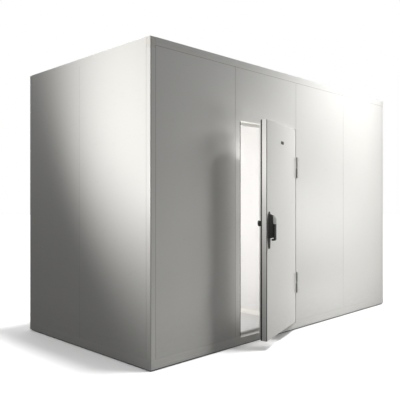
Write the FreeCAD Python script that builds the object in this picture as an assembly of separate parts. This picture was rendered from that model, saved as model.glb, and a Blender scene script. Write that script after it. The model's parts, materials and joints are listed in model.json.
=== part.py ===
import FreeCAD, Part
import math
import os

# A modular walk-in cold room of foam-filled steel panels, in millimetres.
# +X runs along the front from left to right, -Y is the front with the door, +Z is up.
# The origin is the middle of the underside, where the ground strips rest.

Vector = FreeCAD.Vector

# Overall size and panels
ROOM_LENGTH = 3700.0
ROOM_WIDTH = 1830.0
ROOM_HEIGHT = 2480.0
WALL_THICKNESS = 80.0
FLOOR_THICKNESS = 75.0
CEILING_THICKNESS = 80.0
CEILING_INSET = 17.0
MODULES = 4
SIDE_PANEL = 900.0
GROUND_GAP = 11.0

# Joints between panels
TONGUE_WIDTH = 32.0
TONGUE_DEPTH = 12.0
TONGUE_TAPER = 3.0
TONGUE_PLAY = 0.5
SEAM_BEVEL = 1.5
FIT_GAP = 0.5

# Corner profiles, base rails and roof edges
CORNER_LEG = 50.0
CORNER_NOSE = 9.0
CORNER_CAP_HEIGHT = 82.0
CORNER_CAP_BEVEL = 4.0
SHEET = 2.0
BASE_RAIL_TOP = 84.0
BASE_RAIL_FOLD = 30.0
FOLD_DEPTH = 0.9
FOLD_WIDTH = 5.0
ROOF_EDGE_HEIGHT = 63.0
ROOF_EDGE_SHELF = 48.0
ROOF_EDGE_LIP = 13.0
ROOF_EDGE_FOLD = 32.0
STRIP_WIDTH = 60.0
STRIP_SETBACK = 14.0
COVE_RADIUS = 40.0

# Doorway in the second module from the left
DOOR_MODULE = 1
DOOR_STRIP = 62.0
RECESS_DEPTH = 63.0
LATCH_SEAT = 25.0
PARTITION_THICKNESS = 80.0
HEAD_HEIGHT = 485.0
THRESHOLD_SHEET = 1.5
THRESHOLD_REACH = 14.0
RECESS_FLOOR = 70.0

# Door leaf
LEAF_BOTTOM = 76.0
LEAF_TOP_LAP = 20.0
LEAF_TOP_GAP = 6.0
LEAF_FREE_GAP = 8.0
LEAF_HINGE_GAP = 8.0
FLANGE_THICKNESS = 44.0
LEAF_EDGE_RADIUS = 3.0
PLUG_GAP = 12.0
PLUG_BEVEL = 6.0
GASKET_THICKNESS = 14.0
GASKET_WIDTH = 20.0
GASKET_SETBACK = 2.0
GASKET_ROUND = 4.0
DOOR_AJAR = 18.0

# Lift-off hinges
HINGE_OFFSET = 12.0
KNUCKLE_RADIUS = 8.0
KNUCKLE_LENGTH = 92.0
KNUCKLE_GAP = 16.0
HINGE_PIN_RADIUS = 5.0
PIN_PLAY = 0.3
PIN_CAP = 4.0
HINGE_PLATE_WIDTH = 44.0
HINGE_PLATE_THICKNESS = 3.0
HINGE_PLATE_START = 13.0
HINGE_WEB_DEPTH = 8.0
HINGE_WEB_START = 4.0
HINGE_FROM_BOTTOM = 289.0
HINGE_FROM_TOP = 264.0

# Handle, latch and badge
PIVOT_HEIGHT = 1118.0
PIVOT_STANDOFF = 22.0
PIVOT_PIN_RADIUS = 4.0
PIVOT_BOSS_RADIUS = 10.0
HANDLE_INSET = 50.0
HANDLE_RISE = 58.0
HANDLE_DROP = 262.0
HANDLE_WIDTH = 40.0
HANDLE_TAIL_WIDTH = 22.0
HANDLE_PLATE_THICKNESS = 8.0
HOUSING_RISE = 32.0
HOUSING_DROP = 172.0
CHEEK_THICKNESS = 6.0
CHEEK_STANDOFF = 42.0
LEVER_PLAY = 1.0
LEVER_DROP = 194.0
LEVER_STANDOFF = 47.0
LEVER_THICKNESS = 15.0
LEVER_LIP_HEIGHT = 16.0
LEVER_LIP_STANDOFF = 26.0
LATCH_BELOW_PIVOT = 50.0
LATCH_HEIGHT = 45.0
LATCH_REACH = 5.0
LATCH_LENGTH = 18.0
BADGE_BELOW_TOP = 164.0
BADGE_WIDTH = 76.0
BADGE_TALL = 28.0
BADGE_THICKNESS = 2.0
RELEASE_ROSE_RADIUS = 32.0
RELEASE_ROSE_THICKNESS = 8.0
RELEASE_KNOB_RADIUS = 27.0
RELEASE_KNOB_LENGTH = 20.0

# Places worked out from the sizes above
LEFT = -ROOM_LENGTH / 2
RIGHT = ROOM_LENGTH / 2
FRONT = -ROOM_WIDTH / 2
BACK = ROOM_WIDTH / 2
INNER_LEFT = LEFT + WALL_THICKNESS
INNER_RIGHT = RIGHT - WALL_THICKNESS
INNER_FRONT = FRONT + WALL_THICKNESS
INNER_BACK = BACK - WALL_THICKNESS
MODULE = (ROOM_LENGTH - 2 * CORNER_LEG) / MODULES
FLOOR_TOP = GROUND_GAP + FLOOR_THICKNESS
CEILING_TOP = ROOM_HEIGHT - SHEET
WALL_TOP = ROOM_HEIGHT - ROOF_EDGE_HEIGHT
CEILING_BOTTOM = WALL_TOP - CEILING_INSET
OPENING_TOP = WALL_TOP - HEAD_HEIGHT
LEAF_TOP = OPENING_TOP + LEAF_TOP_LAP

DOOR_LEFT = LEFT + CORNER_LEG + DOOR_MODULE * MODULE
DOOR_RIGHT = DOOR_LEFT + MODULE
RECESS_LEFT = DOOR_LEFT + DOOR_STRIP
RECESS_TOP = LEAF_TOP + LEAF_TOP_GAP
RECESS_BACK = FRONT + RECESS_DEPTH
OPENING_LEFT = RECESS_LEFT + LATCH_SEAT
OPENING_RIGHT = DOOR_RIGHT - PARTITION_THICKNESS / 2
THRESHOLD_TOP = FLOOR_TOP + THRESHOLD_SHEET

HINGE_X = DOOR_RIGHT
HINGE_Y = FRONT - HINGE_OFFSET
LEAF_LEFT = RECESS_LEFT + LEAF_FREE_GAP
LEAF_RIGHT = DOOR_RIGHT - LEAF_HINGE_GAP
FLANGE_BACK = FRONT + FLANGE_THICKNESS
PLUG_LEFT = OPENING_LEFT + PLUG_GAP
PLUG_RIGHT = OPENING_RIGHT - PLUG_GAP
PLUG_BOTTOM = THRESHOLD_TOP + PLUG_GAP
PLUG_TOP = OPENING_TOP - PLUG_GAP
HINGE_HEIGHT = 2 * KNUCKLE_LENGTH + KNUCKLE_GAP
HINGE_BOTTOMS = (LEAF_BOTTOM + HINGE_FROM_BOTTOM, LEAF_TOP - HINGE_FROM_TOP - HINGE_HEIGHT)
HANDLE_X = LEAF_LEFT + HANDLE_INSET
HOUSING_BOTTOM = PIVOT_HEIGHT - HOUSING_DROP
HOUSING_TOP = PIVOT_HEIGHT + HOUSING_RISE
LEVER_BOTTOM = PIVOT_HEIGHT - LEVER_DROP
LATCH_MIDDLE = PIVOT_HEIGHT - LATCH_BELOW_PIVOT


def box(x, y, z):
    """A block between two values along each axis."""
    return Part.makeBox(x[1] - x[0], y[1] - y[0], z[1] - z[0], Vector(x[0], y[0], z[0]))


def cylinder(radius, start, end):
    """A round bar from one point to another."""
    axis = end - start
    return Part.makeCylinder(radius, axis.Length, start, axis)


def rounded_wire(corners):
    """A closed wire through (point, radius) corners, with a tangent arc where the radius isn't 0."""
    entries = []
    exits = []
    middles = []
    count = len(corners)
    for index, (point, radius) in enumerate(corners):
        if radius == 0:
            entries.append(point)
            exits.append(point)
            middles.append(None)
            continue
        to_previous = (corners[index - 1][0] - point).normalize()
        to_next = (corners[(index + 1) % count][0] - point).normalize()
        half_angle = to_previous.getAngle(to_next) / 2
        setback = radius / math.tan(half_angle)
        inward = (to_previous + to_next).normalize()
        entries.append(point + to_previous * setback)
        exits.append(point + to_next * setback)
        middles.append(point + inward * (radius / math.sin(half_angle) - radius))
    edges = []
    for index in range(count):
        if middles[index] is not None:
            edges.append(Part.Arc(entries[index], middles[index], exits[index]).toShape())
        following = entries[(index + 1) % count]
        if exits[index].distanceToPoint(following) > 1e-6:
            edges.append(Part.LineSegment(exits[index], following).toShape())
    return Part.Wire(edges)


def prism(outline, origin, along, across, extrusion):
    """Extrude an outline of (along, across) or (along, across, radius) corners."""
    corners = []
    for corner in outline:
        radius = corner[2] if len(corner) == 3 else 0
        corners.append((origin + along * corner[0] + across * corner[1], radius))
    return Part.Face(rounded_wire(corners)).extrude(extrusion)


def solid_of(shape):
    """The single clean solid in a boolean result."""
    return shape.removeSplitter().Solids[0]


# Panel joints: corners across the edge of a panel at s, whose body lies on the side of sign


def plain_edge(s, sign, thickness):
    """A square panel edge with both skins bevelled."""
    bevel = sign * SEAM_BEVEL
    return [
        (s + bevel, 0),
        (s, SEAM_BEVEL),
        (s, thickness - SEAM_BEVEL),
        (s + bevel, thickness),
    ]


def keyed_edge(s, sign, thickness, reach, width):
    """A bevelled panel edge with a tapered key; a negative reach stands out as a tongue."""
    middle = thickness / 2
    tip = s + sign * reach
    key = [
        (s, middle - width / 2),
        (tip, middle - width / 2 + TONGUE_TAPER),
        (tip, middle + width / 2 - TONGUE_TAPER),
        (s, middle + width / 2),
    ]
    edge = plain_edge(s, sign, thickness)
    return edge[:2] + key + edge[2:]


def groove_edge(s, sign, thickness):
    """The edge that takes the next panel's tongue."""
    return keyed_edge(s, sign, thickness, TONGUE_DEPTH, TONGUE_WIDTH)


def tongue_edge(s, sign, thickness):
    """The edge whose tongue goes into the next panel's groove."""
    return keyed_edge(s, sign, thickness, TONGUE_PLAY - TONGUE_DEPTH, TONGUE_WIDTH - 2 * TONGUE_PLAY)


def mitre_edge(s, sign, thickness):
    """The edge behind a corner profile: square beside it, then mitred to the inner corner."""
    bevel = sign * SEAM_BEVEL
    return [
        (s + bevel, 0),
        (s, SEAM_BEVEL),
        (s, CORNER_LEG),
        (s + sign * (thickness - CORNER_LEG), thickness),
    ]


def panel(start, end, start_edge, end_edge, thickness, origin, along, across, extrusion):
    """One foam-filled panel from start to end, with the joint that each edge has."""
    outline = start_edge(start, 1, thickness)
    outline += reversed(end_edge(end, -1, thickness))
    return prism(outline, origin, along, across, extrusion)


def wall_panels(names, seams, ends, origin, along, across, thickness, height):
    """A row of panels between seams, tongued into each other, with its end joints given."""
    pieces = {}
    last = len(names) - 1
    for index, name in enumerate(names):
        start_edge = ends[0] if index == 0 else groove_edge
        end_edge = ends[1] if index == last else tongue_edge
        pieces[name] = panel(
            seams[index], seams[index + 1], start_edge, end_edge,
            thickness, origin, along, across, Vector(0, 0, height),
        )
    return pieces


def recess():
    """The space that the door leaf's outer part closes into."""
    return box((RECESS_LEFT, DOOR_RIGHT), (FRONT - SHEET, RECESS_BACK), (RECESS_FLOOR, RECESS_TOP))


def front_wall():
    """Front panels, with the door's panel split beside and over the doorway."""
    height = WALL_TOP - FLOOR_TOP
    rise = Vector(0, 0, height)
    origin = Vector(LEFT, FRONT, FLOOR_TOP)
    along = Vector(1, 0, 0)
    across = Vector(0, 1, 0)
    seams = [CORNER_LEG + index * MODULE for index in range(MODULES + 1)]
    door_start = seams[DOOR_MODULE]
    door_end = seams[DOOR_MODULE + 1]
    pieces = {}
    pieces["front_panel_1"] = panel(
        seams[0], door_start, mitre_edge, tongue_edge, WALL_THICKNESS, origin, along, across, rise,
    )
    latch_side = panel(
        door_start, OPENING_LEFT - LEFT, groove_edge, square_edge,
        WALL_THICKNESS, origin, along, across, rise,
    )
    pieces["door_panel_latch_side"] = solid_of(latch_side.cut(recess()))
    head = panel(
        OPENING_LEFT - LEFT, door_end, square_edge, plain_edge,
        WALL_THICKNESS, Vector(LEFT, FRONT, OPENING_TOP), along, across,
        Vector(0, 0, WALL_TOP - OPENING_TOP),
    )
    pieces["door_panel_head"] = solid_of(head.cut(recess()))
    pieces["door_panel_hinge_side"] = box(
        (OPENING_RIGHT, DOOR_RIGHT), (RECESS_BACK, INNER_FRONT), (FLOOR_TOP, OPENING_TOP),
    )
    after_door = seams[DOOR_MODULE + 1:]
    names = [f"front_panel_{DOOR_MODULE + 2 + index}" for index in range(len(after_door) - 1)]
    ends = (plain_edge, mitre_edge)
    pieces.update(wall_panels(names, after_door, ends, origin, along, across, WALL_THICKNESS, height))
    return pieces


def square_edge(s, sign, thickness):
    """An edge cut square, where one door panel piece runs on into the next."""
    return [(s, 0), (s, thickness)]


def plain_walls():
    """Back and side walls and the partition."""
    height = WALL_TOP - FLOOR_TOP
    ends = (mitre_edge, mitre_edge)
    pieces = {}
    names = [f"back_panel_{index + 1}" for index in range(MODULES)]
    seams = [CORNER_LEG + index * MODULE for index in range(MODULES + 1)]
    origin = Vector(LEFT, BACK, FLOOR_TOP)
    pieces.update(wall_panels(
        names, seams, ends, origin, Vector(1, 0, 0), Vector(0, -1, 0), WALL_THICKNESS, height,
    ))
    seams = [CORNER_LEG, CORNER_LEG + SIDE_PANEL, ROOM_WIDTH - CORNER_LEG]
    pieces.update(wall_panels(
        ["left_panel_1", "left_panel_2"], seams, ends, Vector(LEFT, FRONT, FLOOR_TOP),
        Vector(0, 1, 0), Vector(1, 0, 0), WALL_THICKNESS, height,
    ))
    pieces.update(wall_panels(
        ["right_panel_1", "right_panel_2"], seams, ends, Vector(RIGHT, FRONT, FLOOR_TOP),
        Vector(0, 1, 0), Vector(-1, 0, 0), WALL_THICKNESS, height,
    ))
    seams = [WALL_THICKNESS, CORNER_LEG + SIDE_PANEL, ROOM_WIDTH - WALL_THICKNESS]
    origin = Vector(DOOR_RIGHT - PARTITION_THICKNESS / 2, FRONT, FLOOR_TOP)
    pieces.update(wall_panels(
        ["partition_panel_1", "partition_panel_2"], seams, (plain_edge, plain_edge), origin,
        Vector(0, 1, 0), Vector(1, 0, 0), PARTITION_THICKNESS, CEILING_BOTTOM - FLOOR_TOP,
    ))
    return pieces


def deck_seams():
    """Seams of the floor and ceiling panels, whose end panels also cover the corner profiles."""
    seams = [CORNER_LEG + index * MODULE for index in range(MODULES + 1)]
    seams[0] = SHEET
    seams[-1] = ROOM_LENGTH - SHEET
    return seams


def deck_panels(name, bottom, thickness):
    """Floor or ceiling panels that span the room from front to back."""
    seams = deck_seams()
    origin = Vector(LEFT, FRONT + SHEET, bottom)
    span = Vector(0, ROOM_WIDTH - 2 * SHEET, 0)
    pieces = {}
    for index in range(MODULES):
        start_edge = plain_edge if index == 0 else groove_edge
        end_edge = plain_edge if index == MODULES - 1 else tongue_edge
        pieces[f"{name}_{index + 1}"] = panel(
            seams[index], seams[index + 1], start_edge, end_edge,
            thickness, origin, Vector(1, 0, 0), Vector(0, 0, 1), span,
        )
    return pieces


def floor():
    """Floor panels, with the doorway's rebate cut for the threshold."""
    pieces = deck_panels("floor_panel", GROUND_GAP, FLOOR_THICKNESS)
    rebate = box(
        (RECESS_LEFT, DOOR_RIGHT),
        (FRONT, RECESS_BACK + THRESHOLD_SHEET),
        (RECESS_FLOOR - THRESHOLD_SHEET, FLOOR_TOP),
    )
    for index in (DOOR_MODULE, DOOR_MODULE + 1):
        name = f"floor_panel_{index + 1}"
        pieces[name] = solid_of(pieces[name].cut(rebate))
    return pieces


def ceiling():
    """Ceiling panels, rebated so that their lower part drops between the walls."""
    pieces = deck_panels("ceiling_panel", CEILING_BOTTOM, CEILING_TOP - CEILING_BOTTOM)
    around = box((LEFT, RIGHT), (FRONT, BACK), (CEILING_BOTTOM, WALL_TOP))
    room = box(
        (INNER_LEFT + FIT_GAP, INNER_RIGHT - FIT_GAP),
        (INNER_FRONT + FIT_GAP, INNER_BACK - FIT_GAP),
        (CEILING_BOTTOM, WALL_TOP),
    )
    wall_heads = around.cut(room)
    for name, shape in pieces.items():
        shape = shape.cut(wall_heads)
        for x, y, turn in corner_places():
            shape = shape.cut(placed_corner(corner_block(WALL_TOP, ROOM_HEIGHT), x, y, turn))
        pieces[name] = solid_of(shape)
    return pieces


def corner_places():
    """Each corner's x and y and the turn that takes the front left profile there."""
    return [(LEFT, FRONT, 0), (RIGHT, FRONT, 90), (RIGHT, BACK, 180), (LEFT, BACK, 270)]


def placed_corner(shape, x, y, turn):
    """A front left corner piece, modelled at the origin, moved to one of the corners."""
    piece = shape.copy()
    piece.Placement = FreeCAD.Placement(Vector(x, y, 0), FreeCAD.Rotation(Vector(0, 0, 1), turn))
    return piece


def corner_block(bottom, top):
    """A corner profile with its rounded nose outward and its edges bevelled to the panels."""
    outline = [
        (0, 0, CORNER_NOSE),
        (CORNER_LEG - SEAM_BEVEL, 0),
        (CORNER_LEG, SEAM_BEVEL),
        (CORNER_LEG, CORNER_LEG),
        (SEAM_BEVEL, CORNER_LEG),
        (0, CORNER_LEG - SEAM_BEVEL),
    ]
    rise = Vector(0, 0, top - bottom)
    return prism(outline, Vector(0, 0, bottom), Vector(1, 0, 0), Vector(0, 1, 0), rise)


def corner_profiles():
    """The four corner profiles and the moulded caps that close them at the roof."""
    names = ("front_left", "front_right", "back_right", "back_left")
    cap_bottom = ROOM_HEIGHT - CORNER_CAP_HEIGHT
    post = corner_block(FLOOR_TOP, cap_bottom - FIT_GAP)
    wide = 2 * CORNER_LEG
    crown = prism(
        [(0, 0, CORNER_NOSE), (wide, 0), (wide, wide), (0, wide)], Vector(0, 0, cap_bottom),
        Vector(1, 0, 0), Vector(0, 1, 0), Vector(0, 0, CORNER_CAP_HEIGHT),
    )
    rims = [
        edge for edge in crown.Edges
        if edge.BoundBox.ZMin > cap_bottom + FIT_GAP
        and (edge.BoundBox.XMax < wide / 2 or edge.BoundBox.YMax < wide / 2)
    ]
    cap = corner_block(cap_bottom, ROOM_HEIGHT).common(crown.makeChamfer(CORNER_CAP_BEVEL, rims))
    pieces = {}
    caps = []
    for name, (x, y, turn) in zip(names, corner_places()):
        pieces[f"corner_post_{name}"] = placed_corner(post, x, y, turn)
        caps.append(placed_corner(cap, x, y, turn))
    pieces["corner_caps"] = Part.makeCompound(caps)
    return pieces


def run_between(outline, corners, inset):
    """A profile along one side, from corner to corner, mitred at both ends."""
    start, end = corners
    along = (end - start).normalize()
    inward = Vector(-along.y, along.x, 0)
    first = start + along * inset
    length = (end - start).Length - 2 * inset
    return prism(outline, first, inward, Vector(0, 0, 1), along * length)


def sides():
    """The corners of each outer side, going round so that the room is on the left."""
    low_left = Vector(LEFT, FRONT, 0)
    low_right = Vector(RIGHT, FRONT, 0)
    high_right = Vector(RIGHT, BACK, 0)
    high_left = Vector(LEFT, BACK, 0)
    return {
        "front": (low_left, low_right),
        "right": (low_right, high_right),
        "back": (high_right, high_left),
        "left": (high_left, low_left),
    }


def fold(height):
    """A pressed V line across a profile's outer face, as outline corners going down."""
    return [
        (0, height + FOLD_WIDTH / 2),
        (FOLD_DEPTH, height),
        (0, height - FOLD_WIDTH / 2),
    ]


def base_rails():
    """Pressed rails round the floor's edge, that turn the corners with a rounded nose."""
    floor_block = box(
        (LEFT + SHEET, RIGHT - SHEET), (FRONT + SHEET, BACK - SHEET), (0, FLOOR_TOP),
    )
    outside = corner_rounded_block(GROUND_GAP, BASE_RAIL_TOP)
    door_gap = box(
        (RECESS_LEFT, DOOR_RIGHT),
        (FRONT - SHEET, FRONT + 2 * SHEET),
        (RECESS_FLOOR - THRESHOLD_SHEET, BASE_RAIL_TOP),
    )
    ring = outside.cut(floor_block).cut(door_gap)
    fold_centre = BASE_RAIL_FOLD + GROUND_GAP
    fold_line = [
        (-FOLD_DEPTH, fold_centre + FOLD_WIDTH),
        (FOLD_DEPTH, fold_centre),
        (-FOLD_DEPTH, fold_centre - FOLD_WIDTH),
    ]
    rails = []
    for corners in sides().values():
        rail = ring.common(mitred_side(corners, BASE_RAIL_TOP))
        rails.append(solid_of(rail.cut(run_between(fold_line, corners, CORNER_LEG))))
    return {"base_rails": Part.makeCompound(rails)}


def mitred_side(corners, height):
    """The strip of plan along one side, mitred at the corners with a hairline between neighbours."""
    start, end = corners
    along = (end - start).normalize()
    inward = Vector(-along.y, along.x, 0)
    length = (end - start).Length
    outline = [
        (FIT_GAP / 2, 0),
        (length - FIT_GAP / 2, 0),
        (length - FIT_GAP / 2 - CORNER_LEG, CORNER_LEG),
        (FIT_GAP / 2 + CORNER_LEG, CORNER_LEG),
    ]
    return prism(outline, start, along, inward, Vector(0, 0, height))


def corner_rounded_block(bottom, top):
    """The room's whole plan between two heights, with the corner noses rounded."""
    outline = [
        (0, 0, CORNER_NOSE),
        (ROOM_LENGTH, 0, CORNER_NOSE),
        (ROOM_LENGTH, ROOM_WIDTH, CORNER_NOSE),
        (0, ROOM_WIDTH, CORNER_NOSE),
    ]
    rise = Vector(0, 0, top - bottom)
    return prism(outline, Vector(LEFT, FRONT, bottom), Vector(1, 0, 0), Vector(0, 1, 0), rise)


def roof_edges():
    """Angle profiles that cover the joint of ceiling and walls, between the corner caps."""
    outline = [(0, WALL_TOP)]
    outline += list(reversed(fold(ROOM_HEIGHT - ROOF_EDGE_FOLD)))
    outline += [
        (0, ROOM_HEIGHT - ROOF_EDGE_LIP),
        (FOLD_DEPTH, ROOM_HEIGHT - ROOF_EDGE_LIP + FOLD_DEPTH),
        (FOLD_DEPTH, ROOM_HEIGHT, SHEET / 2),
        (ROOF_EDGE_SHELF, ROOM_HEIGHT),
        (ROOF_EDGE_SHELF, CEILING_TOP),
        (SHEET, CEILING_TOP),
        (SHEET, WALL_TOP),
    ]
    profiles = [
        run_between(outline, corners, CORNER_LEG + FIT_GAP) for corners in sides().values()
    ]
    return {"roof_edges": Part.makeCompound(profiles)}


def ground_strips():
    """Strips that carry the floor panels and leave a shadow gap round the foot."""
    low = STRIP_SETBACK
    pieces = []
    for y in (FRONT + low, -STRIP_WIDTH / 2, BACK - low - STRIP_WIDTH):
        pieces.append(box((LEFT + low, RIGHT - low), (y, y + STRIP_WIDTH), (0, GROUND_GAP)))
    joint = STRIP_WIDTH + FIT_GAP
    for x in (LEFT + low, RIGHT - low - STRIP_WIDTH):
        pieces.append(box(
            (x, x + STRIP_WIDTH), (FRONT + low + joint, -joint + STRIP_WIDTH / 2), (0, GROUND_GAP),
        ))
        pieces.append(box(
            (x, x + STRIP_WIDTH), (joint - STRIP_WIDTH / 2, BACK - low - joint), (0, GROUND_GAP),
        ))
    return {"ground_strips": Part.makeCompound(pieces)}


def cove_skirting():
    """A coved skirting round the floor of the room behind the door, open at the doorway."""
    x = (INNER_LEFT, OPENING_RIGHT)
    y = (INNER_FRONT, INNER_BACK)
    edge_band = box(x, y, (FLOOR_TOP, FLOOR_TOP + COVE_RADIUS))
    hollow = box(x, y, (FLOOR_TOP, FLOOR_TOP + 3 * COVE_RADIUS))
    floor_edges = [edge for edge in hollow.Edges if edge.BoundBox.ZMax < FLOOR_TOP + FIT_GAP]
    hollow = hollow.makeFillet(COVE_RADIUS, floor_edges)
    band = (FLOOR_TOP, FLOOR_TOP + COVE_RADIUS)
    doorway = box(
        (OPENING_LEFT, OPENING_RIGHT - COVE_RADIUS), (INNER_FRONT, INNER_FRONT + COVE_RADIUS), band,
    )
    sill_end = INNER_FRONT + THRESHOLD_REACH + FIT_GAP
    sill = box((OPENING_LEFT, OPENING_RIGHT), (INNER_FRONT, sill_end), band)
    return {"cove_skirting": solid_of(edge_band.cut(hollow).cut(doorway).cut(sill))}


def threshold():
    """A folded threshold: the recess floor, a riser that the gasket meets, and a sill plate."""
    low = RECESS_FLOOR - THRESHOLD_SHEET
    step = [
        (FRONT, low),
        (FRONT, RECESS_FLOOR),
        (RECESS_BACK, RECESS_FLOOR),
        (RECESS_BACK, FLOOR_TOP),
        (RECESS_BACK + THRESHOLD_SHEET, FLOOR_TOP),
        (RECESS_BACK + THRESHOLD_SHEET, low),
    ]
    across_door = Vector(DOOR_RIGHT - RECESS_LEFT, 0, 0)
    shape = prism(step, Vector(RECESS_LEFT, 0, 0), Vector(0, 1, 0), Vector(0, 0, 1), across_door)
    sill = box(
        (OPENING_LEFT, OPENING_RIGHT),
        (RECESS_BACK, INNER_FRONT + THRESHOLD_REACH),
        (FLOOR_TOP, THRESHOLD_TOP),
    )
    return {"threshold_plate": solid_of(shape.fuse(sill))}


def front_edges(shape, y):
    """The edges of a shape that lie in the plane at y."""
    return [
        edge for edge in shape.Edges
        if abs(edge.BoundBox.YMin - y) < FIT_GAP and abs(edge.BoundBox.YMax - y) < FIT_GAP
    ]


def door_leaf():
    """The rebated leaf: a full-width outer part, and a plug behind it that fills the opening."""
    outer = box((LEAF_LEFT, LEAF_RIGHT), (FRONT, FLANGE_BACK), (LEAF_BOTTOM, LEAF_TOP))
    outer = outer.makeFillet(LEAF_EDGE_RADIUS, front_edges(outer, FRONT))
    plug = box((PLUG_LEFT, PLUG_RIGHT), (FLANGE_BACK, INNER_FRONT), (PLUG_BOTTOM, PLUG_TOP))
    plug = plug.makeChamfer(PLUG_BEVEL, front_edges(plug, INNER_FRONT))
    return {"door_leaf": solid_of(outer.fuse(plug))}


def door_gasket():
    """The seal round the back of the leaf's outer part, with its edges rounded."""
    back = FLANGE_BACK + GASKET_THICKNESS
    inset = GASKET_SETBACK
    ring = box(
        (LEAF_LEFT + inset, LEAF_RIGHT - inset), (FLANGE_BACK, back),
        (LEAF_BOTTOM + inset, LEAF_TOP - inset),
    )
    inset += GASKET_WIDTH
    ring = ring.cut(box(
        (LEAF_LEFT + inset, LEAF_RIGHT - inset), (FLANGE_BACK - SHEET, back + SHEET),
        (LEAF_BOTTOM + inset, LEAF_TOP - inset),
    ))
    return {"door_gasket": ring.makeFillet(GASKET_ROUND, front_edges(ring, back))}


def hinge_leaf(side, bottom, knuckle_bottom):
    """One hinge leaf with its plate on the wall or the door, and its knuckle on the pin's axis."""
    plate_x = sorted((side * HINGE_PLATE_START, side * (HINGE_PLATE_START + HINGE_PLATE_WIDTH)))
    web_x = sorted((side * HINGE_WEB_START, side * HINGE_PLATE_START))
    plate = box(
        (HINGE_X + plate_x[0], HINGE_X + plate_x[1]),
        (FRONT - HINGE_PLATE_THICKNESS, FRONT), (bottom, bottom + HINGE_HEIGHT),
    )
    outer = [edge for edge in plate.Edges if edge.BoundBox.YLength > HINGE_PLATE_THICKNESS / 2]
    outer = [
        edge for edge in outer
        if abs(edge.CenterOfMass.x - HINGE_X) > HINGE_PLATE_START + HINGE_PLATE_WIDTH / 2
    ]
    plate = plate.makeFillet(KNUCKLE_RADIUS, outer)
    knuckle_z = (knuckle_bottom, knuckle_bottom + KNUCKLE_LENGTH)
    web = box(
        (HINGE_X + web_x[0], HINGE_X + web_x[1]), (FRONT - HINGE_WEB_DEPTH, FRONT), knuckle_z,
    )
    start = Vector(HINGE_X, HINGE_Y, knuckle_z[0])
    knuckle = cylinder(KNUCKLE_RADIUS, start, Vector(HINGE_X, HINGE_Y, knuckle_z[1]))
    return plate.fuse(web).fuse(knuckle)


def hinges():
    """Two lift-off hinges: the wall's leaves carry the pins, the door's leaves turn on them."""
    wall_leaves = []
    door_leaves = []
    for bottom in HINGE_BOTTOMS:
        upper = bottom + KNUCKLE_LENGTH + KNUCKLE_GAP
        pin_top = upper + KNUCKLE_LENGTH - PIN_CAP - PIN_PLAY
        pin = cylinder(
            HINGE_PIN_RADIUS, Vector(HINGE_X, HINGE_Y, bottom), Vector(HINGE_X, HINGE_Y, pin_top),
        )
        wall_leaves.append(solid_of(hinge_leaf(1, bottom, bottom).fuse(pin)))
        socket = cylinder(
            HINGE_PIN_RADIUS + PIN_PLAY,
            Vector(HINGE_X, HINGE_Y, upper),
            Vector(HINGE_X, HINGE_Y, pin_top + PIN_PLAY),
        )
        door_leaves.append(solid_of(hinge_leaf(-1, bottom, upper).cut(socket)))
    return Part.makeCompound(wall_leaves), Part.makeCompound(door_leaves)


def handle_outline():
    """The long plate's outline: a pointed head, straight flanks and a narrow rounded tail."""
    top = PIVOT_HEIGHT + HANDLE_RISE
    bottom = PIVOT_HEIGHT - HANDLE_DROP
    half = HANDLE_WIDTH / 2
    half_tail = HANDLE_TAIL_WIDTH / 2
    shoulder = top - HANDLE_WIDTH * 0.8
    right = [
        (half, shoulder, half),
        (half, HOUSING_BOTTOM, half),
        (half_tail, bottom, half_tail / 2),
    ]
    left = [(-across, along, radius) for across, along, radius in reversed(right)]
    return [(0, top, half / 3)] + right + left


def handle_plate():
    """The handle's back plate with the two cheeks that hold the lever's pivot pin."""
    origin = Vector(HANDLE_X, FRONT, 0)
    across = Vector(1, 0, 0)
    outward = Vector(0, -1, 0)
    up = Vector(0, 0, 1)
    shape = prism(handle_outline(), origin, across, up, outward * HANDLE_PLATE_THICKNESS)
    buried = HANDLE_PLATE_THICKNESS / 2
    cheek = [
        (buried, HOUSING_BOTTOM),
        (buried, HOUSING_TOP),
        (CHEEK_STANDOFF, HOUSING_TOP - CHEEK_STANDOFF / 3, CHEEK_STANDOFF / 3),
        (CHEEK_STANDOFF, HOUSING_BOTTOM, CHEEK_STANDOFF / 3),
    ]
    half = HANDLE_WIDTH / 2
    for side in (-half, half - CHEEK_THICKNESS):
        start = Vector(HANDLE_X + side, FRONT, 0)
        shape = shape.fuse(prism(cheek, start, outward, up, across * CHEEK_THICKNESS))
    pin = cylinder(
        PIVOT_PIN_RADIUS,
        Vector(HANDLE_X - half, FRONT - PIVOT_STANDOFF, PIVOT_HEIGHT),
        Vector(HANDLE_X + half, FRONT - PIVOT_STANDOFF, PIVOT_HEIGHT),
    )
    return {"handle_plate": solid_of(shape.fuse(pin))}


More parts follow.
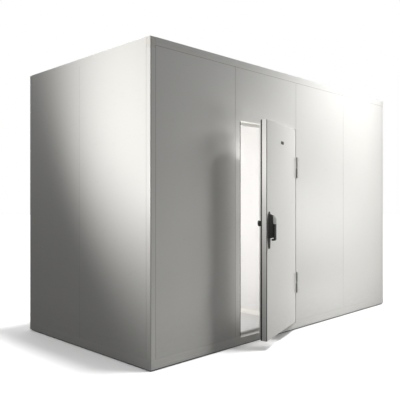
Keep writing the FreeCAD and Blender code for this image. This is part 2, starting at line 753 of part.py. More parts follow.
def handle_lever():
    """The lever that is pulled outward: a boss on the pin, an arm, and a grip with a lip below."""
    half = HANDLE_WIDTH / 2 - CHEEK_THICKNESS - LEVER_PLAY
    near = PIVOT_STANDOFF - PIVOT_BOSS_RADIUS
    far = LEVER_STANDOFF + LEVER_THICKNESS
    boss_top = PIVOT_HEIGHT + PIVOT_BOSS_RADIUS
    boss_bottom = PIVOT_HEIGHT - PIVOT_BOSS_RADIUS
    lip_top = LEVER_BOTTOM + LEVER_LIP_HEIGHT
    profile = [
        (near, boss_top, PIVOT_BOSS_RADIUS),
        (LEVER_STANDOFF, boss_top + PIVOT_BOSS_RADIUS, PIVOT_BOSS_RADIUS),
        (far, boss_bottom, LEVER_THICKNESS),
        (far, LEVER_BOTTOM, LEVER_THICKNESS),
        (LEVER_LIP_STANDOFF, LEVER_BOTTOM, LEVER_LIP_HEIGHT / 2.2),
        (LEVER_LIP_STANDOFF, lip_top, LEVER_LIP_HEIGHT / 2.2),
        (LEVER_STANDOFF, lip_top, LEVER_LIP_HEIGHT / 2.2),
        (LEVER_STANDOFF, boss_bottom - 4 * PIVOT_BOSS_RADIUS, LEVER_THICKNESS),
        (near, boss_bottom, PIVOT_BOSS_RADIUS),
    ]
    start = Vector(HANDLE_X - half, FRONT, 0)
    shape = prism(profile, start, Vector(0, -1, 0), Vector(0, 0, 1), Vector(2 * half, 0, 0))
    bore = cylinder(
        PIVOT_PIN_RADIUS + PIN_PLAY,
        Vector(HANDLE_X - HANDLE_WIDTH, FRONT - PIVOT_STANDOFF, PIVOT_HEIGHT),
        Vector(HANDLE_X + HANDLE_WIDTH, FRONT - PIVOT_STANDOFF, PIVOT_HEIGHT),
    )
    return {"handle_lever": solid_of(shape.cut(bore))}


def door_fittings():
    """The latch block on the leaf's free edge, the blank badge and the inner release."""
    latch = box(
        (PLUG_LEFT - LATCH_REACH, PLUG_LEFT),
        (FLANGE_BACK + GASKET_THICKNESS + FIT_GAP, FLANGE_BACK + GASKET_THICKNESS + LATCH_LENGTH),
        (LATCH_MIDDLE - LATCH_HEIGHT / 2, LATCH_MIDDLE + LATCH_HEIGHT / 2),
    )
    badge_middle = Vector((LEAF_LEFT + LEAF_RIGHT) / 2, FRONT, LEAF_TOP - BADGE_BELOW_TOP)
    half_width = BADGE_WIDTH / 2
    half_tall = BADGE_TALL / 2
    rounding = half_tall * 0.99
    badge_outline = [
        (-half_width, -half_tall, rounding),
        (half_width, -half_tall, rounding),
        (half_width, half_tall, rounding),
        (-half_width, half_tall, rounding),
    ]
    badge = prism(
        badge_outline, badge_middle,
        Vector(1, 0, 0), Vector(0, 0, 1), Vector(0, -BADGE_THICKNESS, 0),
    )
    rose_start = Vector(HANDLE_X + RELEASE_ROSE_RADIUS, INNER_FRONT, LATCH_MIDDLE)
    rose_end = rose_start + Vector(0, RELEASE_ROSE_THICKNESS, 0)
    knob_end = rose_end + Vector(0, RELEASE_KNOB_LENGTH, 0)
    rose = cylinder(RELEASE_ROSE_RADIUS, rose_start, rose_end)
    knob = cylinder(RELEASE_KNOB_RADIUS, rose_end, knob_end)
    knob = knob.makeFillet(RELEASE_KNOB_RADIUS / 3, front_edges(knob, knob_end.y))
    return {"latch_block": latch, "blank_badge": badge, "inner_release": solid_of(rose.fuse(knob))}


def ajar(pieces):
    """The door's pieces, modelled shut, swung open about the hinge pins."""
    for shape in pieces.values():
        shape.rotate(Vector(HINGE_X, HINGE_Y, 0), Vector(0, 0, 1), DOOR_AJAR)
    return pieces


def latch_keeper():
    """The keeper on the seat beside the opening, facing the latch block."""
    keeper = box(
        (OPENING_LEFT - LATCH_SEAT / 2, OPENING_LEFT),
        (INNER_FRONT, INNER_FRONT + SHEET),
        (LATCH_MIDDLE - LATCH_HEIGHT, LATCH_MIDDLE + LATCH_HEIGHT),
    )
    return {"latch_keeper": keeper}


def cold_room():
    """Every piece of the room by its name."""
    wall_leaves, door_leaves = hinges()
    pieces = {}
    for group in (
        ground_strips(), floor(), base_rails(), front_wall(), plain_walls(), ceiling(),
        corner_profiles(), roof_edges(), threshold(), cove_skirting(), latch_keeper(),
    ):
        pieces.update(group)
    pieces["hinge_wall_leaves"] = wall_leaves
    door = {}
    for group in (door_leaf(), door_gasket(), door_fittings(), handle_plate(), handle_lever()):
        door.update(group)
    door["hinge_door_leaves"] = door_leaves
    pieces.update(ajar(door))
    return pieces


os.makedirs("parts", exist_ok=True)
for piece_name, piece_shape in cold_room().items():
    piece_shape.exportStep(f"parts/{piece_name}.step")
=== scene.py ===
import json
import math

import bpy
from mathutils import Matrix, Vector

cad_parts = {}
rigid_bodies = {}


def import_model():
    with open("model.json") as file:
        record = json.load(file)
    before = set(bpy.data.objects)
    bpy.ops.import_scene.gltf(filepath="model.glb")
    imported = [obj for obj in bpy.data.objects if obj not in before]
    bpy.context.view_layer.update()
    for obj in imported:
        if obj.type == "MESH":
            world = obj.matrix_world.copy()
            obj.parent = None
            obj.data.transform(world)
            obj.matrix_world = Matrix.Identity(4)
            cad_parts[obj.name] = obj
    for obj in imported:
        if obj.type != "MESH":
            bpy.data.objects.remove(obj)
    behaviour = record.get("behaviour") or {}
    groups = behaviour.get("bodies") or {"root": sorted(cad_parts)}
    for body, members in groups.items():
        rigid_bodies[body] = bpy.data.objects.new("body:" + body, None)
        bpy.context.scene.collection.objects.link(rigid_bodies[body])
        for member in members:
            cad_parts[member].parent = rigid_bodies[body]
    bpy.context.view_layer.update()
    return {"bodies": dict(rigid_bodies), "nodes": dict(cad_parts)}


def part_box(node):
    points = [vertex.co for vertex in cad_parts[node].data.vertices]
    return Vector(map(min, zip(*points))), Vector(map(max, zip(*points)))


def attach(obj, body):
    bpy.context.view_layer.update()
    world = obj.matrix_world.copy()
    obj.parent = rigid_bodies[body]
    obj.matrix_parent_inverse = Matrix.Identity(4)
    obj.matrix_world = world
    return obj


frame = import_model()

# A walk-in cold room of white insulated panels, in metres: the door's front faces -Y, the
# origin is the middle of its underside. The finishes and the small fittings are made here.

scene = bpy.context.scene
nodes = frame["nodes"]


def low(node):
    """A piece's lowest corner."""
    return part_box(node)[0]


def high(node):
    """A piece's highest corner."""
    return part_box(node)[1]


# Faces and edges of the room, read from its own pieces
LEFT = low("corner_post_front_left").x
FRONT = low("corner_post_front_left").y
RIGHT = high("corner_post_back_right").x
BACK = high("corner_post_back_right").y
ROOF = high("corner_caps").z
WALL_FOOT = high("floor_panel_1").z
WALL_TOP = high("front_panel_1").z
CEILING = low("ceiling_panel_1").z
INNER_LEFT = high("left_panel_1").x
INNER_RIGHT = low("right_panel_1").x
INNER_FRONT = high("front_panel_1").y
INNER_BACK = low("back_panel_1").y
PARTITION_LEFT = low("partition_panel_1").x
PARTITION_RIGHT = high("partition_panel_1").x
SEAMS = (high("front_panel_1").x - 0.0115, 0.0, high("front_panel_3").x - 0.0115)
SIDE_SEAM = low("left_panel_2").y

# The door turns about its hinge pins, and stands ajar by this much
HINGE_LINE = Vector((0.0, FRONT - 0.012, 0.0))
AJAR = math.radians(18)
HINGE_FEET = (0.365, 1.488)
HINGE_TALL = 0.200
CORNER_LEG = 0.050
LEAF_FREE_EDGE = -0.830
LEAF_HINGE_EDGE = -0.008
LEAF_FOOT = low("door_leaf").z
LEAF_HEAD = high("door_leaf").z
HANDLE_X = -0.780
HANDLE_PLATE_FACE = 0.008


def on_leaf(x, standoff, z):
    """A point on the shut door, at its standoff from the wall's face, where it is with the door ajar."""
    shut = Vector((x, FRONT - standoff, z)) - HINGE_LINE
    return HINGE_LINE + Matrix.Rotation(AJAR, 3, "Z") @ shut


LEAF_OUTWARD = Matrix.Rotation(AJAR, 3, "Z") @ Vector((0, -1, 0))

# The photograph's camera: a level 48 mm lens in front of the near corner, to its left
CAMERA_FROM_CORNER = (-2.535, -3.036)
CAMERA_HEIGHT = 1.262
LOOK_ALONG = (0.7089, 0.7053, 0.0)
LENS_MM = 48.19
SENSOR_MM = 36.0
FRAME_PIXELS = 400
HORIZON_ROW = 200.8


def photo_camera():
    """The camera that sees the room as the photograph does."""
    data = bpy.data.cameras.new("photo_camera")
    data.lens = LENS_MM
    data.sensor_width = SENSOR_MM
    data.shift_y = (HORIZON_ROW - FRAME_PIXELS / 2) / FRAME_PIXELS
    data.clip_end = 100
    camera = bpy.data.objects.new("photo_camera", data)
    camera.location = (LEFT + CAMERA_FROM_CORNER[0], FRONT + CAMERA_FROM_CORNER[1], CAMERA_HEIGHT)
    camera.rotation_mode = "QUATERNION"
    camera.rotation_quaternion = Vector(LOOK_ALONG).to_track_quat("-Z", "Y")
    scene.collection.objects.link(camera)
    scene.camera = camera


# Finishes


class Wire:
    """A shader socket that adds its Math nodes when it is used in an expression."""

    def __init__(self, finish, socket):
        self.finish = finish
        self.socket = socket

    def __add__(self, other):
        return self.finish.sum_of("ADD", self, other)

    def __sub__(self, other):
        return self.finish.sum_of("SUBTRACT", self, other)

    def __rsub__(self, other):
        return self.finish.sum_of("SUBTRACT", other, self)

    def __mul__(self, other):
        return self.finish.sum_of("MULTIPLY", self, other)

    def __truediv__(self, other):
        return self.finish.sum_of("DIVIDE", self, other)

    def __rtruediv__(self, other):
        return self.finish.sum_of("DIVIDE", other, self)

    def __pow__(self, other):
        return self.finish.sum_of("POWER", self, other)

    def __gt__(self, other):
        return self.finish.sum_of("GREATER_THAN", self, other)

    def __lt__(self, other):
        return self.finish.sum_of("LESS_THAN", self, other)

    __radd__ = __add__
    __rmul__ = __mul__


class Finish:
    """A surface finish: its shader, and the nodes that vary it."""

    def __init__(self, name):
        self.material = bpy.data.materials.new(name)
        self.material.use_nodes = True
        self.tree = self.material.node_tree
        self.shader = self.tree.nodes["Principled BSDF"]

    def node(self, kind, settings=None, sockets=None, out=0):
        """Adds a node, its settings first and then its sockets, and gives one output."""
        made = self.tree.nodes.new(kind)
        for key, value in (settings or {}).items():
            setattr(made, key, value)
        for key, value in (sockets or {}).items():
            self.feed(made.inputs[key], value)
        return Wire(self, made.outputs[out])

    def feed(self, socket, value):
        """Puts a number, a colour or a wire on an input."""
        if isinstance(value, Wire):
            self.tree.links.new(value.socket, socket)
        else:
            socket.default_value = value

    def sum_of(self, operation, first, second):
        """A Math node between two values."""
        return self.node("ShaderNodeMath", {"operation": operation}, {0: first, 1: second})

    def place(self):
        """Object coordinates, which are metres in the room's own frame."""
        return self.node("ShaderNodeTexCoord", out="Object")

    def leaf_place(self):
        """The place turned back with the door, so that X runs along the shut leaf from the pins."""
        turned = Matrix.Rotation(-AJAR, 3, "Z") @ HINGE_LINE
        return self.node(
            "ShaderNodeMapping", {"vector_type": "POINT"},
            {"Vector": self.place(), "Rotation": (0, 0, -AJAR), "Location": -turned},
        )

    def axes(self, place=None):
        """The three coordinates of a place, each as a wire."""
        split = self.tree.nodes.new("ShaderNodeSeparateXYZ")
        self.feed(split.inputs[0], place or self.place())
        return [Wire(self, output) for output in split.outputs]

    def noise(self, size, detail=2.0, stretch=(1, 1, 1), place=None):
        """Smooth noise from 0 to 1, with features of about this size in metres."""
        scaled = self.node(
            "ShaderNodeMapping", None,
            {"Vector": place or self.place(), "Scale": tuple(1 / (size * s) for s in stretch)},
        )
        return self.node("ShaderNodeTexNoise", None, {"Vector": scaled, "Scale": 1.0, "Detail": detail})

    def step(self, value, start, end):
        """A soft step, 0 at start and 1 at end."""
        return self.node(
            "ShaderNodeMapRange", {"interpolation_type": "SMOOTHSTEP"},
            {"Value": value, "From Min": start, "From Max": end},
        )

    def blend(self, factor, first, second):
        """A colour between two colours."""
        return self.node(
            "ShaderNodeMix", {"data_type": "RGBA"}, {0: factor, 6: first, 7: second}, out=2,
        )

    def relief(self, height, depth, under=None):
        """Surface relief of the given depth in metres, over another where one is given."""
        sockets = {"Height": height, "Distance": depth, "Strength": 1.0}
        if under is not None:
            sockets["Normal"] = under
        return self.node("ShaderNodeBump", None, sockets)

    def set(self, **values):
        """Puts values or wires on the shader's inputs."""
        for key, value in values.items():
            self.feed(self.shader.inputs[key.replace("_", " ")], value)
        return self.material


def grey(value, warmth=0.045):
    """A near-neutral colour: its brightness, a little warm as the room's paint is."""
    return (value * (1 + warmth / 4), value, value * (1 - warmth), 1.0)


def painted_panel(name, rubbed=False):
    """White polyester paint on steel skins: orange peel, slow waves, dust low down, faint rubs."""
    f = Finish(name)
    height = f.axes()[2]
    cloud = f.noise(0.55, 3)
    peel = f.noise(0.0022, 2)
    waves = f.noise(0.32, 1, (1, 1, 2.5))
    dust = (1 - f.step(height, 0.09, 0.42)) * f.noise(0.03, 4, (3, 3, 1))
    rub = f.step(f.noise(0.10, 5, (1, 1, 0.35)), 0.60, 0.78)
    wear = 0.35 * dust + 0.10 * rub
    if rubbed:
        along, _, up = f.axes(f.leaf_place())
        near_handle = (along - HANDLE_X) ** 2 + 0.25 * (up - 1.0) ** 2
        hands = (1 - f.step(near_handle, 0.002, 0.04)) * f.noise(0.022, 4)
        wear = wear + 0.22 * hands
    f.set(
        Base_Color=f.blend(wear, f.blend(cloud, grey(0.755), grey(0.795)), grey(0.52, 0.05)),
        Roughness=0.36 + 0.08 * cloud + 0.25 * wear,
        Normal=f.relief(peel, 0.00003, f.relief(waves, 0.0005)),
    )
    return f.material


def drawn_profile(name, tone, lengthwise):
    """Painted edge profiles: smoother than the skins, with faint draw lines along their length."""
    f = Finish(name)
    cloud = f.noise(0.4, 2)
    lines = f.noise(0.0018, 1, lengthwise)
    grime = f.noise(0.012, 4, lengthwise)
    height = f.axes()[2]
    low_dust = (1 - f.step(height, 0.0, 0.10)) * grime
    paint = f.blend(cloud, grey(tone), grey(tone + 0.03))
    return f.set(
        Base_Color=f.blend(0.5 * low_dust, paint, grey(0.40, 0.06)),
        Roughness=0.30 + 0.10 * grime,
        Normal=f.relief(lines, 0.00004),
    )


def floor_deck():
    """Grey non-slip floor coating: fine grit, trolley scuffs along the way in, worn paler there."""
    f = Finish("floor_deck")
    grit = f.noise(0.0016, 2)
    scuff = f.step(f.noise(0.05, 5, (0.3, 4, 1)), 0.55, 0.75)
    cloud = f.noise(0.35, 3)
    across = f.axes()[0]
    worn = 1 - f.step((across + 0.45) ** 2, 0.02, 0.30)
    colour = f.blend(cloud, grey(0.62, 0.02), grey(0.69, 0.02))
    return f.set(
        Base_Color=f.blend(0.35 * scuff * worn, colour, grey(0.76, 0.02)),
        Roughness=0.55 + 0.15 * grit - 0.12 * scuff,
        Normal=f.relief(grit, 0.00025),
    )


def brushed_steel(name, tone, grain):
    """Stainless sheet brushed one way, with rubs."""
    f = Finish(name)
    lines = f.noise(0.0007, 2, grain)
    rub = f.noise(0.03, 4)
    return f.set(
        Base_Color=f.blend(lines, grey(tone, 0.01), grey(tone * 1.18, 0.01)),
        Metallic=1.0,
        Roughness=0.26 + 0.16 * lines + 0.10 * rub,
        Normal=f.relief(lines, 0.00003),
    )


def moulded_plastic(name, tone, roughness=0.42, grain=0.0009):
    """Moulded plastic with a spark-eroded grain and a little dust in it."""
    f = Finish(name)
    spark = f.noise(grain, 2)
    dust = f.noise(0.018, 4)
    tint = 0.05 + 0.12 * (1 - tone)
    dusty = min(tone * 1.5 + 0.004, tone + 0.04)
    return f.set(
        Base_Color=f.blend(dust, grey(tone, tint), grey(dusty, tint)),
        Roughness=roughness + 0.12 * spark,
        Normal=f.relief(spark, 0.00006),
    )


def gasket_rubber():
    """Black extruded rubber with fine ribs along it and chalky dust."""
    f = Finish("gasket_rubber")
    along, off, up = f.axes(f.leaf_place())
    rib = f.node("ShaderNodeMath", {"operation": "SINE"}, {0: off * 3000})
    chalk = f.noise(0.02, 4)
    return f.set(
        Base_Color=f.blend(chalk, grey(0.012, 0.05), grey(0.035, 0.08)),
        Roughness=0.58 + 0.15 * chalk,
        Normal=f.relief(rib, 0.0002),
    )


def hinge_paint():
    """Painted hinge plates, and satin zinc on the knuckles round the pins."""
    f = Finish("hinge_paint")
    across, depth, height = f.axes()
    from_pin = (across - HINGE_LINE.x) ** 2 + (depth - HINGE_LINE.y) ** 2
    knuckle = from_pin < 0.0112 ** 2
    swirl = f.noise(0.004, 3, (1, 1, 0.2))
    return f.set(
        Base_Color=f.blend(knuckle, grey(0.74), f.blend(swirl, grey(0.50, 0.0), grey(0.60, 0.0))),
        Metallic=0.25 * knuckle,
        Roughness=0.36 + 0.10 * swirl,
        Normal=f.relief(swirl, 0.00005),
    )


def lever_finish():
    """The lever: cast zinc above, a black ribbed grip sleeve below the arm."""
    f = Finish("lever_finish")
    along, off, up = f.axes(f.leaf_place())
    metal = up > 1.066
    ribs = f.node("ShaderNodeMath", {"operation": "SINE"}, {0: up * 1800})
    sleeve = f.relief(ribs, 0.0002)
    cast = f.noise(0.0016, 3)
    return f.set(
        Base_Color=f.blend(metal, f.blend(cast, grey(0.010), grey(0.020)), f.blend(cast, grey(0.33), grey(0.40))),
        Metallic=0.35 * metal,
        Roughness=0.50 - 0.10 * metal + 0.08 * cast,
        Normal=f.relief(cast, 0.00008, sleeve),
    )


def badge_plate():
    """A blank dark anodised plate with fine brushing."""
    f = Finish("badge_plate")
    lines = f.noise(0.0005, 2, (1, 1, 30), f.leaf_place())
    return f.set(
        Base_Color=f.blend(lines, grey(0.014), grey(0.030)),
        Metallic=0.2,
        Roughness=0.38 + 0.12 * lines,
        Normal=f.relief(lines, 0.00002),
    )


def dress(node, material):
    """Puts a finish on every slot of a CAD piece's own mesh."""
    mesh = nodes[node].data
    if not mesh.materials:
        mesh.materials.append(material)
    for index in range(len(mesh.materials)):
        mesh.materials[index] = material


def dress_room():
    """Gives each piece of the room its finish, by how its name starts."""
    upright = drawn_profile("corner_profile_paint", 0.76, (1, 1, 400))
    level = drawn_profile("edge_profile_paint", 0.76, (60, 60, 1))
    black = moulded_plastic("black_handle_plastic", 0.010)
    finishes = {
        "": painted_panel("panel_paint"),
        "door_leaf": painted_panel("door_paint", rubbed=True),
        "corner_post": upright,
        "corner_caps": moulded_plastic("corner_cap_plastic", 0.70, 0.36),
        "base_rails": level,
        "roof_edges": level,
        "floor_panel": floor_deck(),
        "ground_strips": moulded_plastic("ground_strip_rubber", 0.030, 0.7, 0.003),
        "cove_skirting": moulded_plastic("cove_plastic", 0.74, 0.34),
        "threshold_plate": brushed_steel("sill_steel", 0.50, (300, 1, 1)),
        "latch_keeper": brushed_steel("keeper_steel", 0.52, (1, 1, 200)),
        "door_gasket": gasket_rubber(),
        "hinge": hinge_paint(),
        "handle_plate": black,
        "latch_block": black,
        "inner_release": black,
        "handle_lever": lever_finish(),
        "blank_badge": badge_plate(),
    }
    for name in nodes:
        start = max((s for s in finishes if name.startswith(s)), key=len)
        dress(name, finishes[start])


# Small fittings, grown along rows and paths by node trees


class Recipe:
    """A geometry tree with named inputs, for small parts that repeat or follow a path."""

    def __init__(self, name, inputs):
        self.tree = bpy.data.node_groups.new(name, "GeometryNodeTree")
        self.sockets = {}
        for label, kind in inputs.items():
            made = self.tree.interface.new_socket(label, in_out="INPUT", socket_type=kind)
            self.sockets[label] = made.identifier
        self.tree.interface.new_socket("Fittings", in_out="OUTPUT", socket_type="NodeSocketGeometry")
        self.given = self.tree.nodes.new("NodeGroupInput")

    def use(self, label):
        """One of the named inputs."""
        return self.given.outputs[label]

    def node(self, kind, settings=None, sockets=None, out=0):
        """Adds a node, its settings first and then its sockets, and gives one output."""
        made = self.tree.nodes.new(kind)
        for key, value in (settings or {}).items():
            setattr(made, key, value)
        for key, value in (sockets or {}).items():
            for one in value if isinstance(value, list) else [value]:
                if isinstance(one, bpy.types.NodeSocket):
                    self.tree.links.new(one, made.inputs[key])
                else:
                    made.inputs[key].default_value = one
        return made.outputs[out]

    def close(self, shapes, finish):
        """Ends the tree with real meshes in their finish."""
        real = self.node("GeometryNodeRealizeInstances", None, {0: shapes})
        done = self.node("GeometryNodeSetMaterial", None, {"Geometry": real, "Material": finish})
        ending = self.tree.nodes.new("NodeGroupOutput")
        self.tree.links.new(done, ending.inputs[0])


def head_recipe(recessed):
    """Heads standing on a surface at a spacing along rows: screws with a cross recess, or rivets."""
    r = Recipe("screw_heads" if recessed else "round_heads", {
        "Row": "NodeSocketGeometry", "Spacing": "NodeSocketFloat", "Radius": "NodeSocketFloat",
        "Height": "NodeSocketFloat", "Finish": "NodeSocketMaterial",
    })
    row = r.node("GeometryNodeMeshToCurve", None, {"Mesh": r.use("Row")})
    points = r.node(
        "GeometryNodeCurveToPoints", {"mode": "LENGTH"}, {"Curve": row, "Length": r.use("Spacing")},
    )
    outward = r.node(
        "GeometryNodeInputNamedAttribute", {"data_type": "FLOAT_VECTOR"}, {"Name": "outward"},
    )
    turn = r.node("FunctionNodeAlignRotationToVector", {"axis": "Z"}, {"Vector": outward})
    crown = r.node("ShaderNodeMath", {"operation": "MULTIPLY"}, {0: r.use("Radius"), 1: 0.62})
    head = r.node("GeometryNodeMeshCone", {"fill_type": "NGON"}, {
        "Vertices": 12, "Side Segments": 1, "Radius Top": crown,
        "Radius Bottom": r.use("Radius"), "Depth": r.use("Height"),
    })
    if recessed:
        slot_width = r.node("ShaderNodeMath", {"operation": "MULTIPLY"}, {0: r.use("Radius"), 1: 0.2})
        slots = []
        for width, length in ((slot_width, r.use("Radius")), (r.use("Radius"), slot_width)):
            size = r.node("ShaderNodeCombineXYZ", None, {0: width, 1: length, 2: r.use("Height")})
            slot = r.node("GeometryNodeMeshCube", None, {"Size": size})
            lift = r.node("ShaderNodeCombineXYZ", None, {2: r.use("Height")})
            slots.append(r.node("GeometryNodeTransform", None, {"Geometry": slot, "Translation": lift}))
        head = r.node(
            "GeometryNodeMeshBoolean", {"operation": "DIFFERENCE"}, {"Mesh 1": head, "Mesh 2": slots},
        )
    placed = r.node(
        "GeometryNodeInstanceOnPoints", None, {"Points": points, "Instance": head, "Rotation": turn},
    )
    r.close(placed, r.use("Finish"))
    return r


def bead_recipe():
    """A round bead swept along each path: sealant in a seam, a rib on a sill, a lip on a gasket."""
    r = Recipe("beads", {
        "Path": "NodeSocketGeometry", "Radius": "NodeSocketFloat", "Finish": "NodeSocketMaterial",
    })
    path = r.node("GeometryNodeMeshToCurve", None, {"Mesh": r.use("Path")})
    section = r.node(
        "GeometryNodeCurvePrimitiveCircle", {"mode": "RADIUS"}, {"Resolution": 8, "Radius": r.use("Radius")},
    )
    bead = r.node(
        "GeometryNodeCurveToMesh", None, {"Curve": path, "Profile Curve": section, "Fill Caps": True},
    )
    r.close(bead, r.use("Finish"))
    return r


def path_mesh(name, paths):
    """Edges through each path's points, with the way that what stands on them faces."""
    points = []
    edges = []
    facing = []
    for corners, outward in paths:
        first = len(points)
        points += [tuple(corner) for corner in corners]
        edges += [(first + step, first + step + 1) for step in range(len(corners) - 1)]
        facing += [tuple(outward)] * len(corners)
        if len(corners) > 2:
            edges.append((len(points) - 1, first))
    mesh = bpy.data.meshes.new(name)
    mesh.from_pydata(points, edges, [])
    outward_data = mesh.attributes.new("outward", "FLOAT_VECTOR", "POINT").data
    for index, way in enumerate(facing):
        outward_data[index].vector = way
    return mesh


def grow(name, recipe, paths, body, slot, **inputs):
    """Runs a recipe along paths, and keeps what it makes as a plain mesh on a body."""
    seed = bpy.data.objects.new(name + "_rows", path_mesh(name + "_rows", paths))
    scene.collection.objects.link(seed)
    modifier = seed.modifiers.new("fittings", "NODES")
    modifier.node_group = recipe.tree
    for label, value in inputs.items():
        modifier[recipe.sockets[label]] = value
    evaluated = seed.evaluated_get(bpy.context.evaluated_depsgraph_get())
    mesh = bpy.data.meshes.new_from_object(evaluated)
    mesh.name = name
    seed.modifiers.clear()
    bpy.data.objects.remove(seed)
    piece = bpy.data.objects.new(name, mesh)
    scene.collection.objects.link(piece)
    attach(piece, body)
    return piece


def pair(start, step, count, outward):
    """A row from its first fitting to its last, by a step between neighbours."""
    start = Vector(start)
    return ([start, start + Vector(step) * (count - 1)], outward)


def upright(x, y, way, foot=WALL_FOOT, top=WALL_TOP):
    """A path straight up a wall, from foot to top."""
    return ([Vector((x, y, foot)), Vector((x, y, top))], way)


def fittings():
    """Every small fitting of the room, by rows and paths."""
    screws = head_recipe(True)
    heads = head_recipe(False)
    beads = bead_recipe()
    zinc = brushed_steel("zinc_screw", 0.46, (1, 1, 1))
    paint = moulded_plastic("painted_rivet", 0.72, 0.34)
    plug = moulded_plastic("lock_plug_plastic", 0.66, 0.38)
    black = moulded_plastic("black_screw", 0.014, 0.34)
    sealant = moulded_plastic("seam_sealant", 0.34, 0.55)
    rubber = moulded_plastic("gasket_lip_and_shade_bead_rubber", 0.012, 0.6)
    front_way = (0, -1, 0)
    back_way = (0, 1, 0)
    left_way = (-1, 0, 0)
    right_way = (1, 0, 0)
    up_way = (0, 0, 1)

    plate_step = (0, 0, 0.075)
    plate_face = FRONT - 0.003
    grow("hinge_screws_wall", screws, [
        pair((0.041, plate_face, foot + 0.025), plate_step, 3, front_way) for foot in HINGE_FEET
    ], "room", "hinges", Spacing=0.075, Radius=0.0042, Height=0.0012, Finish=zinc)
    grow("hinge_screws_door", screws, [
        pair(on_leaf(-0.041, 0.003, foot + 0.025), plate_step, 3, LEAF_OUTWARD) for foot in HINGE_FEET
    ], "door", "hinges", Spacing=0.075, Radius=0.0042, Height=0.0012, Finish=zinc)
    grow("hinge_pin_caps", heads, [
        pair(HINGE_LINE + Vector((0, 0, foot + HINGE_TALL)), (0, 0, 0.001), 2, up_way)
        for foot in HINGE_FEET
    ], "door", "hinges", Spacing=0.01, Radius=0.0062, Height=0.0024, Finish=zinc)
    grow("hinge_washers", heads, [
        pair(HINGE_LINE + Vector((0, 0, foot + 0.092)), (0, 0, 0.001), 2, up_way)
        for foot in HINGE_FEET
    ], "room", "hinges", Spacing=0.01, Radius=0.0095, Height=0.003, Finish=plug)
    grow("handle_screws", screws, [
        pair(on_leaf(HANDLE_X, HANDLE_PLATE_FACE, 0.876), (0, 0, 0.284), 2, LEAF_OUTWARD)
    ], "door", "handle_black", Spacing=0.284, Radius=0.0040, Height=0.0012, Finish=black)
    keeper = high("latch_keeper")
    grow("keeper_screws", screws, [
        pair((keeper.x - 0.006, keeper.y, 1.032), (0, 0, 0.072), 2, back_way)
    ], "room", "keeper", Spacing=0.072, Radius=0.0030, Height=0.0010, Finish=zinc)

    rail_height = 0.063
    rail_ends = 0.10
    door_left = low("threshold_plate").x - 0.05
    outer_rows = [
        ((LEFT + rail_ends, FRONT, rail_height), (door_left, FRONT, rail_height), front_way),
        ((0.06, FRONT, rail_height), (RIGHT - rail_ends, FRONT, rail_height), front_way),
        ((LEFT + rail_ends, BACK, rail_height), (RIGHT - rail_ends, BACK, rail_height), back_way),
        ((LEFT, FRONT + rail_ends, rail_height), (LEFT, BACK - rail_ends, rail_height), left_way),
        ((RIGHT, FRONT + rail_ends, rail_height), (RIGHT, BACK - rail_ends, rail_height), right_way),
    ]
    grow("base_rail_rivets", heads, [
        ([Vector(start), Vector(end)], way) for start, end, way in outer_rows
    ], "room", "profiles", Spacing=0.34, Radius=0.0034, Height=0.0010, Finish=paint)
    shelf = 0.026
    shelf_rows = [
        ((LEFT + rail_ends, FRONT + shelf), (RIGHT - rail_ends, FRONT + shelf)),
        ((LEFT + rail_ends, BACK - shelf), (RIGHT - rail_ends, BACK - shelf)),
        ((LEFT + shelf, FRONT + rail_ends), (LEFT + shelf, BACK - rail_ends)),
        ((RIGHT - shelf, FRONT + rail_ends), (RIGHT - shelf, BACK - rail_ends)),
    ]
    grow("roof_edge_rivets", heads, [
        ([Vector((*start, ROOF)), Vector((*end, ROOF))], up_way) for start, end in shelf_rows
    ], "room", "profiles", Spacing=0.30, Radius=0.0040, Height=0.0012, Finish=paint)

    plug_beside = 0.055
    plug_rows = [
        pair((seam + plug_beside, INNER_BACK, 0.45), (0, 0, 0.75), 3, front_way) for seam in SEAMS
    ]
    for wall, way in (
        (INNER_LEFT, right_way), (INNER_RIGHT, left_way),
        (PARTITION_LEFT, left_way), (PARTITION_RIGHT, right_way),
    ):
        plug_rows.append(pair((wall, SIDE_SEAM + plug_beside, 0.45), (0, 0, 0.75), 3, way))
    plug_rows.append(pair((SEAMS[2] + plug_beside, INNER_FRONT, 0.45), (0, 0, 0.75), 3, back_way))
    for seam in (SEAMS[0], SEAMS[2]):
        plug_rows.append(pair((seam + plug_beside, -0.55, CEILING), (0, 0.55, 0), 3, (0, 0, -1)))
    grow("lock_plugs", heads, plug_rows, "room", "room_panels",
         Spacing=0.55, Radius=0.0095, Height=0.0016, Finish=plug)

    sill = high("threshold_plate").z
    first_rib = low("threshold_plate").y + 0.067
    rib_step = 0.0075
    grow("sill_ribs", beads, [
        ([Vector((x, first_rib + row * rib_step, sill)) for x in (-0.80, -0.05)], up_way)
        for row in range(4)
    ], "room", "threshold", Radius=0.0012, Finish=brushed_steel("sill_rib_steel", 0.52, (300, 1, 1)))

    groove = 0.0016
    over_door = high("door_leaf").z + 0.012
    seam_paths = []
    for seam in SEAMS:
        foot = WALL_FOOT if seam != 0 else over_door
        seam_paths.append(upright(seam, FRONT + groove, front_way, foot))
        seam_paths.append(upright(seam, BACK - groove, back_way))
    for side, wall in ((1, LEFT), (-1, RIGHT)):
        seam_paths.append(upright(wall + side * groove, SIDE_SEAM, left_way))
    for x, inward in ((LEFT, 1), (RIGHT, -1)):
        for y, back in ((FRONT, 1), (BACK, -1)):
            seam_paths.append(upright(x + inward * CORNER_LEG, y + back * groove, (0, -back, 0)))
            seam_paths.append(upright(x + inward * groove, y + back * CORNER_LEG, (-inward, 0, 0)))
    grow("seam_sealant_beads", beads, seam_paths, "room", "room_panels", Radius=0.0013, Finish=sealant)
